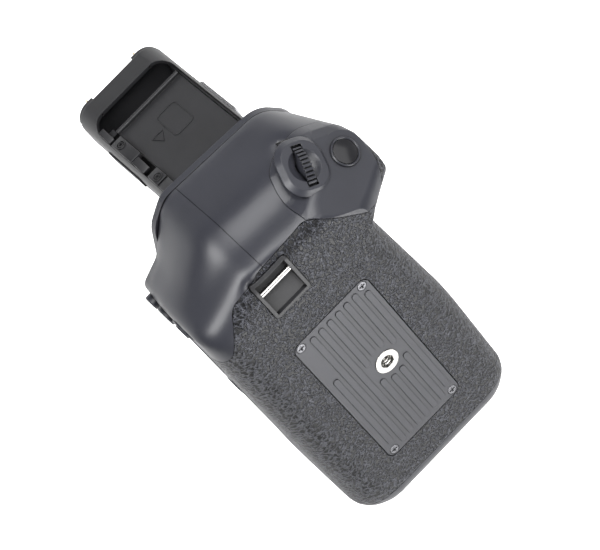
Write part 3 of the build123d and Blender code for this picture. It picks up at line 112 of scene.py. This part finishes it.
def addNoise(tree, coords, scale, detail):
    noise = tree.nodes.new("ShaderNodeTexNoise")
    noise.inputs["Scale"].default_value = scale
    noise.inputs["Detail"].default_value = detail
    tree.links.new(coords.outputs["Object"], noise.inputs["Vector"])
    return noise


def addRamp(tree, source, low, high, lowColour, highColour):
    ramp = tree.nodes.new("ShaderNodeValToRGB")
    ramp.color_ramp.elements[0].position = low
    ramp.color_ramp.elements[1].position = high
    ramp.color_ramp.elements[0].color = (*lowColour, 1)
    ramp.color_ramp.elements[1].color = (*highColour, 1)
    tree.links.new(source, ramp.inputs["Fac"])
    return ramp


edgeLook = {"round": 0.00035, "samples": 4}
creaseShadeLook = {"reach": 0.0018, "samples": 8, "open": 0.94, "shut": 0.4, "darkest": 0.02}


# The bump starts from edges that look slightly rounded
def addBump(tree, shader, height, strength, distance):
    edge = tree.nodes.new("ShaderNodeBevel")
    edge.samples = edgeLook["samples"]
    edge.inputs["Radius"].default_value = edgeLook["round"]
    bump = tree.nodes.new("ShaderNodeBump")
    bump.inputs["Strength"].default_value = strength
    bump.inputs["Distance"].default_value = distance
    tree.links.new(height, bump.inputs["Height"])
    tree.links.new(edge.outputs["Normal"], bump.inputs["Normal"])
    tree.links.new(bump.outputs["Normal"], shader.inputs["Normal"])


# Creases and gaps are painted darker by an occlusion node: painted shade, not dust
def shadeCreases(tree, shader, colour):
    around = tree.nodes.new("ShaderNodeAmbientOcclusion")
    around.samples = creaseShadeLook["samples"]
    around.inputs["Distance"].default_value = creaseShadeLook["reach"]
    level = tree.nodes.new("ShaderNodeMapRange")
    level.inputs["From Min"].default_value = creaseShadeLook["shut"]
    level.inputs["From Max"].default_value = creaseShadeLook["open"]
    level.inputs["To Min"].default_value = creaseShadeLook["darkest"]
    tree.links.new(around.outputs["AO"], level.inputs["Value"])
    shaded = tree.nodes.new("ShaderNodeVectorMath")
    shaded.operation = "SCALE"
    tree.links.new(colour, shaded.inputs[0])
    tree.links.new(level.outputs["Result"], shaded.inputs["Scale"])
    tree.links.new(shaded.outputs["Vector"], shader.inputs["Base Color"])


toneRamp = {"low": 0.35, "high": 0.65}


# Moulded plastic: fine matt texture with slow changes of tone
def mouldedPlastic(name, look):
    material, shader, coords = startMaterial(name, look)
    tree = material.node_tree
    tone = addNoise(tree, coords, look["toneScale"], noiseDetail["tone"])
    low = tuple(c * (1 - look["toneShare"]) for c in look["colour"])
    high = tuple(c * (1 + look["toneShare"]) for c in look["colour"])
    ramp = addRamp(tree, tone.outputs["Fac"], toneRamp["low"], toneRamp["high"], low, high)
    # Creases and gaps painted darker: painted shade
    shadeCreases(tree, shader, ramp.outputs["Color"])
    fine = addNoise(tree, coords, look["fineScale"], noiseDetail["fine"])
    addBump(tree, shader, fine.outputs["Fac"], look["bump"], look["bumpDepth"])
    return material


# Grained skin: raised wrinkles wander over a darker ground, along one level line of a noise; the wrinkles give
# the bump, and their lighter colour is a painted highlight on the ridges
def grainedSkin(name, look):
    material, shader, coords = startMaterial(name, look)
    tree = material.node_tree
    field = addNoise(tree, coords, look["wrinkleScale"], noiseDetail["wrinkle"])
    offset = tree.nodes.new("ShaderNodeMath")
    offset.operation = "SUBTRACT"
    offset.inputs[1].default_value = look["wrinkleLevel"]
    tree.links.new(field.outputs["Fac"], offset.inputs[0])
    away = tree.nodes.new("ShaderNodeMath")
    away.operation = "ABSOLUTE"
    tree.links.new(offset.outputs["Value"], away.inputs[0])
    wrinkle = tree.nodes.new("ShaderNodeMapRange")
    wrinkle.interpolation_type = "SMOOTHSTEP"
    wrinkle.inputs["From Min"].default_value = look["wrinkleWidth"]
    wrinkle.inputs["From Max"].default_value = 0.0
    tree.links.new(away.outputs["Value"], wrinkle.inputs["Value"])
    # Ridges take the lighter colour: painted highlight over the dark ground
    ramp = addRamp(tree, wrinkle.outputs["Result"], 0.0, 1.0, look["ground"], look["colour"])
    # Creases and gaps painted darker: painted shade
    shadeCreases(tree, shader, ramp.outputs["Color"])
    addBump(tree, shader, wrinkle.outputs["Result"], look["bump"], look["bumpDepth"])
    return material


markShare = {"smoothest": 0.7, "roughest": 1.4}


# Metal: small marks change the roughness and the height
def workedMetal(name, look):
    material, shader, coords = startMaterial(name, look)
    tree = material.node_tree
    marks = addNoise(tree, coords, look["markScale"], noiseDetail["mark"])
    rough = tree.nodes.new("ShaderNodeMapRange")
    rough.inputs["To Min"].default_value = look["roughness"] * markShare["smoothest"]
    rough.inputs["To Max"].default_value = look["roughness"] * markShare["roughest"]
    tree.links.new(marks.outputs["Fac"], rough.inputs["Value"])
    tree.links.new(rough.outputs["Result"], shader.inputs["Roughness"])
    addBump(tree, shader, marks.outputs["Fac"], look["bump"], look["bumpDepth"])
    return material


plasticLooks = {
    "smooth_plastic": {
        "colour": (0.03, 0.031, 0.039), "roughness": 0.36,
        "toneScale": 40, "toneShare": 0.07, "fineScale": 3800, "bump": 0.25, "bumpDepth": 0.00006,
    },
    "inner_plastic": {
        "colour": (0.02, 0.02, 0.022), "roughness": 0.42,
        "toneScale": 60, "toneShare": 0.1, "fineScale": 3000, "bump": 0.2, "bumpDepth": 0.00005,
    },
    "rubber_pad": {
        "colour": (0.03, 0.03, 0.031), "roughness": 0.8,
        "toneScale": 80, "toneShare": 0.12, "fineScale": 2200, "bump": 0.4, "bumpDepth": 0.0001,
    },
    "gloss_button": {
        "colour": (0.018, 0.018, 0.02), "roughness": 0.16,
        "toneScale": 50, "toneShare": 0.05, "fineScale": 2500, "bump": 0.04, "bumpDepth": 0.00002,
    },
    "board": {
        "colour": (0.03, 0.2, 0.1), "roughness": 0.35,
        "toneScale": 300, "toneShare": 0.15, "fineScale": 1500, "bump": 0.1, "bumpDepth": 0.00003,
    },
}
skinLooks = {
    "grained_plastic": {
        "colour": (0.075, 0.078, 0.094), "ground": (0.002, 0.002, 0.003), "roughness": 0.4,
        "wrinkleScale": 600, "wrinkleLevel": 0.5, "wrinkleWidth": 0.13, "bump": 1.0, "bumpDepth": 0.0012,
    },
}
metalLooks = {
    "bright_steel": {
        "colour": (0.56, 0.55, 0.53), "roughness": 0.22, "metallic": 1.0,
        "markScale": 900, "bump": 0.05, "bumpDepth": 0.00002,
    },
    "turned_steel": {
        "colour": (0.58, 0.58, 0.6), "roughness": 0.28, "metallic": 1.0,
        "markScale": 1500, "bump": 0.1, "bumpDepth": 0.00002,
    },
    "black_steel": {
        "colour": (0.16, 0.16, 0.17), "roughness": 0.26, "metallic": 0.9,
        "markScale": 1200, "bump": 0.08, "bumpDepth": 0.00002,
    },
    "contact_metal": {
        "colour": (0.84, 0.66, 0.3), "roughness": 0.22, "metallic": 1.0,
        "markScale": 1400, "bump": 0.05, "bumpDepth": 0.00002,
    },
}
finishes = {}
for looks, makeFinish in (
    (plasticLooks, mouldedPlastic),
    (skinLooks, grainedSkin),
    (metalLooks, workedMetal),
):
    for slotName, look in looks.items():
        finishes[slotName] = makeFinish(slotName, look)
print("stage: finishes made,", len(finishes))


def selectOnly(piece):
    bpy.ops.object.select_all(action="DESELECT")
    piece.select_set(True)
    bpy.context.view_layer.objects.active = piece


# Shown skins: a merged copy of a solid that takes smooth shading across its faces
skins = {
    "bottom_shell": {"name": "bottomShellSkin", "angle": 32},
    "rear_end_cover": {"name": "rearCoverSkin", "angle": 32},
    "front_end_cover": {"name": "frontCoverSkin", "angle": 32},
    "control_panel": {"name": "controlPanelSkin", "angle": 30},
    "magazine_door": {"name": "magazineDoorSkin", "angle": 32},
    "top_plate": {"name": "topPlateSkin", "angle": 30},
    "tower_shell": {"name": "towerSkin", "angle": 30},
    "strap_lug_frame": {"name": "strapLugSkin", "angle": 30},
}
skinMerge = 0.000002
faceWeight = 70


def copyNode(nodeName, name):
    piece = nodes[nodeName].copy()
    piece.data = nodes[nodeName].data.copy()
    piece.name = name
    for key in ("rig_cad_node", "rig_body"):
        del piece[key]
    piece.parent = None
    bpy.context.scene.collection.objects.link(piece)
    selectOnly(piece)
    bpy.ops.mesh.customdata_custom_splitnormals_clear()
    bpy.ops.object.mode_set(mode="EDIT")
    bpy.ops.mesh.select_all(action="SELECT")
    bpy.ops.mesh.remove_doubles(threshold=skinMerge)
    bpy.ops.object.mode_set(mode="OBJECT")
    return piece


# A calmed copy of the whole body lends its normals to the end covers, so that light flows over them
flow = {
    "sources": (
        "rear_end_cover", "front_end_cover", "control_panel", "bottom_shell", "top_plate", "chassis",
    ),
    "takers": ("rear_end_cover", "front_end_cover"),
    "voxel": 0.0011,
    "factor": 0.6,
    "repeat": 60,
    "longest": 0.0025,
    "passes": 4,
}


def makeFlowBody(size):
    copies = [copyNode(nodeName, "flowBody") for nodeName in size["sources"]]
    bpy.ops.object.select_all(action="DESELECT")
    for piece in copies:
        piece.select_set(True)
    body = copies[0]
    bpy.context.view_layer.objects.active = body
    bpy.ops.object.join()
    even = body.modifiers.new("even", "REMESH")
    even.mode = "VOXEL"
    even.voxel_size = size["voxel"]
    calm = body.modifiers.new("calm", "SMOOTH")
    calm.factor = size["factor"]
    calm.iterations = size["repeat"]
    for modifierName in ("even", "calm"):
        bpy.ops.object.modifier_apply(modifier=modifierName)
    bpy.ops.object.shade_smooth()
    return body


# Long thin facets are cut shorter before they take the calmed normals
def splitLongEdges(piece, size):
    for _ in range(size["passes"]):
        bpy.ops.object.mode_set(mode="EDIT")
        bpy.ops.mesh.select_all(action="DESELECT")
        bpy.ops.mesh.select_mode(type="EDGE")
        bpy.ops.object.mode_set(mode="OBJECT")
        mesh = piece.data
        for edge in mesh.edges:
            first, second = (mesh.vertices[index].co for index in edge.vertices)
            edge.select = (first - second).length > size["longest"]
        bpy.ops.object.mode_set(mode="EDIT")
        bpy.ops.mesh.subdivide(number_cuts=1)
        bpy.ops.object.mode_set(mode="OBJECT")


def dressNode(nodeName, skin, flowBody):
    piece = copyNode(nodeName, skin["name"])
    if nodeName in flow["takers"]:
        splitLongEdges(piece, flow)
    bpy.ops.object.shade_smooth_by_angle(angle=math.radians(skin["angle"]))
    if nodeName in flow["takers"]:
        lend = piece.modifiers.new("evenNormals", "DATA_TRANSFER")
        lend.object = flowBody
        lend.use_loop_data = True
        lend.data_types_loops = {"CUSTOM_NORMAL"}
        lend.loop_mapping = "POLYINTERP_NEAREST"
    else:
        even = piece.modifiers.new("evenNormals", "WEIGHTED_NORMAL")
        even.keep_sharp = True
        even.weight = faceWeight
    bpy.ops.object.modifier_apply(modifier="evenNormals")
    piece.data.materials.clear()
    piece.data.materials.append(finishes[slotOf[nodeName]])
    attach(piece, bodyOf[nodeName])
    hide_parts(nodeName)


flowBody = makeFlowBody(flow)
for nodeName, skin in skins.items():
    dressNode(nodeName, skin, flowBody)
bpy.data.objects.remove(flowBody)
for nodeName, node in nodes.items():
    if nodeName not in skins:
        node.data.materials.clear()
        node.data.materials.append(finishes[slotOf[nodeName]])
print("stage: skins made,", len(skins))

# Thread inside the tripod bush
thread = {
    "bore": 0.00254, "crest": 0.00222, "pitch": 0.00127, "low": 0.0006,
    "half": 0.0005, "crestFrom": 0.85, "crestTo": 1.15,
    "turns": 5, "steps": 40, "merge": 0.000001, "angle": 30,
}


def cutThread(size):
    bpy.ops.mesh.primitive_plane_add(size=1)
    piece = bpy.context.object
    piece.name = "bushThread"
    corners = (
        (size["bore"], 0, size["low"]),
        (size["crest"], 0, size["low"] + size["half"] * size["crestFrom"]),
        (size["crest"], 0, size["low"] + size["half"] * size["crestTo"]),
        (size["bore"], 0, size["low"] + size["half"] * 2),
    )
    for vertex, corner in zip((0, 1, 3, 2), corners):
        piece.data.vertices[vertex].co = corner
    screw = piece.modifiers.new("turns", "SCREW")
    screw.axis = "Z"
    screw.angle = math.tau
    screw.screw_offset = size["pitch"]
    screw.iterations = size["turns"]
    screw.steps = screw.render_steps = size["steps"]
    selectOnly(piece)
    bpy.ops.object.modifier_apply(modifier="turns")
    bpy.ops.object.mode_set(mode="EDIT")
    bpy.ops.mesh.select_all(action="SELECT")
    bpy.ops.mesh.remove_doubles(threshold=size["merge"])
    bpy.ops.mesh.normals_make_consistent(inside=False)
    bpy.ops.object.mode_set(mode="OBJECT")
    bpy.ops.object.shade_smooth_by_angle(angle=math.radians(size["angle"]))
    piece.data.materials.append(finishes["bright_steel"])
    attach(piece, "grip")


cutThread(thread)
print("stage: bush thread cut")

# Bracket on the tower: two plates, two claws and a foot over a thin near-black sheet that is painted shade for
# the dark well, each block low corner to high corner
bracket = {
    "bracketShadeSheet": {
        "low": (0.0710, -0.01205, 0.0630), "high": (0.0712, -0.00745, 0.0985), "bevel": 0.00005,
    },
    "bracketPlateUpper": {
        "low": (0.0711, -0.01205, 0.0807), "high": (0.0735, -0.00745, 0.0940), "bevel": 0.0002,
    },
    "bracketPlateLower": {
        "low": (0.0711, -0.01205, 0.0633), "high": (0.0735, -0.00745, 0.0697), "bevel": 0.0002,
    },
    "bracketFoot": {
        "low": (0.0711, -0.01205, 0.0463), "high": (0.0731, -0.00745, 0.0630), "bevel": 0.0002,
    },
    "bracketClawUpper": {
        "low": (0.0711, -0.01205, 0.0965), "high": (0.0746, -0.00960, 0.1018), "bevel": 0.0002,
        "cut": 0.0022,
    },
    "bracketClawLower": {
        "low": (0.0711, -0.01205, 0.0735), "high": (0.0746, -0.00900, 0.0788), "bevel": 0.0002,
        "cut": 0.0022,
    },
}
bevelSegments = 3
# Near-black matt look for the sheet behind the bracket: painted shade
wellShadeLook = {
    **plasticLooks["inner_plastic"],
    "colour": (0.002, 0.002, 0.002), "roughness": 0.9, "specular": 0.05,
}
screwFace = {
    "radius": 0.0018, "thick": 0.0003, "sides": 48, "ring": 0.00036, "flank": 0.000045,
    "steps": (-0.00045, 0.00045, -0.00045), "upward": 0.9, "angle": 40,
    "x": 0.0735, "y": -0.0098, "heights": (0.0658, 0.0903),
}
pieceAngle = 30


def finishPiece(piece, finishName, angle):
    selectOnly(piece)
    bpy.ops.object.transform_apply(location=True, rotation=True, scale=True)
    bpy.ops.object.shade_smooth_by_angle(angle=math.radians(angle))
    piece.data.materials.append(finishes[finishName])
    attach(piece, "grip")


def raiseBlock(name, block):
    low, high = Vector(block["low"]), Vector(block["high"])
    bpy.ops.object.select_all(action="DESELECT")
    bpy.ops.mesh.primitive_cube_add(size=1, location=(low + high) / 2)
    piece = bpy.context.object
    piece.name = name
    piece.scale = high - low
    bpy.ops.object.transform_apply(location=False, rotation=False, scale=True)
    if "cut" in block:
        # A claw's lower outer edge runs back towards its root
        for vertex in piece.data.vertices:
            if vertex.co.x > 0 and vertex.co.z < 0:
                vertex.co.x -= block["cut"]
    edge = piece.modifiers.new("edge", "BEVEL")
    edge.width = block["bevel"]
    edge.segments = bevelSegments
    bpy.ops.object.modifier_apply(modifier="edge")
    finishPiece(piece, "inner_plastic", pieceAngle)
    return piece


# Round screw face, from its rim inwards: a sunk ring, a raised ring and a sunk middle
def turnScrewFace(name, height, size):
    bpy.ops.object.select_all(action="DESELECT")
    bpy.ops.mesh.primitive_cylinder_add(
        vertices=size["sides"],
        radius=size["radius"],
        depth=size["thick"],
        location=(size["x"] + size["thick"] / 2, size["y"], height),
        rotation=(0, math.pi / 2, 0),
    )
    piece = bpy.context.object
    piece.name = name
    bpy.ops.object.mode_set(mode="EDIT")
    bpy.ops.mesh.select_mode(type="FACE")
    bpy.ops.mesh.select_all(action="DESELECT")
    bpy.ops.object.mode_set(mode="OBJECT")
    for face in piece.data.polygons:
        face.select = face.normal.z > size["upward"]
    bpy.ops.object.mode_set(mode="EDIT")
    for step in size["steps"]:
        bpy.ops.mesh.inset(thickness=size["ring"], depth=0)
        bpy.ops.mesh.inset(thickness=size["flank"], depth=step)
    bpy.ops.object.mode_set(mode="OBJECT")
    finishPiece(piece, "inner_plastic", size["angle"])
    return piece


blocks = [raiseBlock(name, block) for name, block in bracket.items()]
# The thin first block takes the near-black look: painted shade where the well is
blocks[0].data.materials[0] = mouldedPlastic("well_shade", wellShadeLook)
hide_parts("tower_bracket")
screwFaces = [
    turnScrewFace("bracketScrewFace%d" % number, height, screwFace)
    for number, height in enumerate(screwFace["heights"], 1)
]
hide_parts("tower_bracket_screws")
print("stage: tower bracket built,", len(blocks))

# Raised outline and triangle that show which way a battery goes in
outlines = {
    "batteryOutline": {
        "corners": 4, "turn": 45, "middle": (0.0710, 0.00945, 0.0830),
        "size": (0.0091, 0.0140), "round": 0.0018,
    },
    "batteryArrow": {
        "corners": 3, "turn": 180, "middle": (0.0710, 0.0012, 0.0820),
        "size": (0.0052, 0.0050), "round": 0.0003,
    },
}
ridge = {"width": 0.00028, "proud": 0.00016, "segments": 5}


def raiseOutline(name, outline):
    bpy.ops.object.select_all(action="DESELECT")
    bpy.ops.mesh.primitive_circle_add(vertices=outline["corners"], radius=1, fill_type="NGON")
    piece = bpy.context.object
    piece.name = name
    piece.rotation_euler = (0, 0, math.radians(outline["turn"]))
    bpy.ops.object.transform_apply(location=False, rotation=True, scale=False)
    across = [vertex.co.x for vertex in piece.data.vertices]
    along = [vertex.co.y for vertex in piece.data.vertices]
    wide, tall = outline["size"]
    piece.scale = (wide / (max(across) - min(across)), tall / (max(along) - min(along)), 1)
    bpy.ops.object.transform_apply(location=False, rotation=False, scale=True)
    bpy.ops.object.mode_set(mode="EDIT")
    bpy.ops.mesh.select_all(action="SELECT")
    bpy.ops.mesh.bevel(offset=outline["round"], segments=ridge["segments"], affect="VERTICES")
    bpy.ops.mesh.select_all(action="SELECT")
    bpy.ops.mesh.inset(thickness=ridge["width"], depth=0)
    bpy.ops.mesh.delete(type="FACE")
    bpy.ops.mesh.select_all(action="SELECT")
    bpy.ops.mesh.extrude_region_move(TRANSFORM_OT_translate={"value": (0, 0, ridge["proud"])})
    bpy.ops.mesh.select_all(action="SELECT")
    bpy.ops.mesh.normals_make_consistent(inside=False)
    bpy.ops.object.mode_set(mode="OBJECT")
    piece.location = outline["middle"]
    piece.rotation_euler = (math.pi / 2, 0, math.pi / 2)
    finishPiece(piece, "inner_plastic", pieceAngle)


for outlineName, outline in outlines.items():
    raiseOutline(outlineName, outline)
print("stage: battery outline raised")

# Pale floor behind the object, square to the view, clear from its far side and clear to shadows
floorSize = {
    "reach": 3.0, "behind": 0.13, "middle": (0.005, 0.0, 0.045),
    "colour": (0.93, 0.93, 0.93), "roughness": 0.9, "glow": 0.85,
}


def layFloor(size):
    forward = Vector(cameraView["forward"])
    place = Vector(size["middle"]) + forward * size["behind"]
    bpy.ops.mesh.primitive_plane_add(size=size["reach"], location=place)
    floor = bpy.context.object
    floor.name = "paleFloor"
    floor.rotation_mode = "QUATERNION"
    floor.rotation_quaternion = (-forward).to_track_quat("Z", "Y")
    material = bpy.data.materials.new("palePaper")
    material.use_nodes = True
    tree = material.node_tree
    paper = tree.nodes["Principled BSDF"]
    paper.inputs["Base Color"].default_value = (*size["colour"], 1)
    paper.inputs["Roughness"].default_value = size["roughness"]
    paper.inputs["Emission Color"].default_value = (1, 1, 1, 1)
    path = tree.nodes.new("ShaderNodeLightPath")
    glow = tree.nodes.new("ShaderNodeMath")
    glow.operation = "MULTIPLY"
    glow.inputs[1].default_value = size["glow"]
    tree.links.new(path.outputs["Is Camera Ray"], glow.inputs[0])
    tree.links.new(glow.outputs["Value"], paper.inputs["Emission Strength"])
    side = tree.nodes.new("ShaderNodeNewGeometry")
    unseen = tree.nodes.new("ShaderNodeMath")
    unseen.operation = "MAXIMUM"
    tree.links.new(side.outputs["Backfacing"], unseen.inputs[0])
    tree.links.new(path.outputs["Is Shadow Ray"], unseen.inputs[1])
    clear = tree.nodes.new("ShaderNodeBsdfTransparent")
    mix = tree.nodes.new("ShaderNodeMixShader")
    tree.links.new(unseen.outputs["Value"], mix.inputs["Fac"])
    tree.links.new(paper.outputs["BSDF"], mix.inputs[1])
    tree.links.new(clear.outputs["BSDF"], mix.inputs[2])
    tree.links.new(mix.outputs["Shader"], tree.nodes["Material Output"].inputs["Surface"])
    floor.data.materials.append(material)


layFloor(floorSize)

# Studio light: soft panels, each placed to the right, down and towards the camera from the aim
panels = {
    "lowerRightPanel": {"place": (0.8, 0.6, 0.3), "size": 0.6, "power": 8},
    "leftPanel": {"place": (-0.6, 0.2, 1), "size": 0.6, "power": 12},
    "upperPanel": {"place": (0.1, -0.6, 1), "size": 0.6, "power": 9},
    "rimPanel": {"place": (0, -1, 0.3), "size": 0.6, "power": 2},
    "rightPanel": {"place": (0.7, -0.7, 0.3), "size": 0.6, "power": 1.5},
    "overheadPanel": {"place": (0, 0, 1.2), "size": 0.6, "power": 5},
}
panelAim = (0.01, 0, 0.04)
roomLight = {"strength": 0.03, "seen": 1.0}


def hangPanel(name, panel):
    aside, below, near = panel["place"]
    reach = Vector(cameraView["right"]) * aside + Vector(cameraView["down"]) * below
    reach = reach - Vector(cameraView["forward"]) * near
    bpy.ops.object.light_add(type="AREA", location=Vector(panelAim) + reach)
    lamp = bpy.context.object
    lamp.name = name
    lamp.data.size = panel["size"]
    lamp.data.energy = panel["power"]
    lamp.rotation_mode = "QUATERNION"
    lamp.rotation_quaternion = (-reach).to_track_quat("-Z", "Y")


for panelName, panel in panels.items():
    hangPanel(panelName, panel)


def lightRoom(room):
    world = bpy.data.worlds.new("paleRoom")
    bpy.context.scene.world = world
    world.use_nodes = True
    tree = world.node_tree
    sky = tree.nodes["Background"]
    sky.inputs["Color"].default_value = (1, 1, 1, 1)
    path = tree.nodes.new("ShaderNodeLightPath")
    level = tree.nodes.new("ShaderNodeMapRange")
    level.inputs["To Min"].default_value = room["strength"]
    level.inputs["To Max"].default_value = room["seen"]
    tree.links.new(path.outputs["Is Camera Ray"], level.inputs["Value"])
    tree.links.new(level.outputs["Result"], sky.inputs["Strength"])


lightRoom(roomLight)
bpy.context.scene.view_settings.view_transform = "Standard"
print("stage: light and floor set")
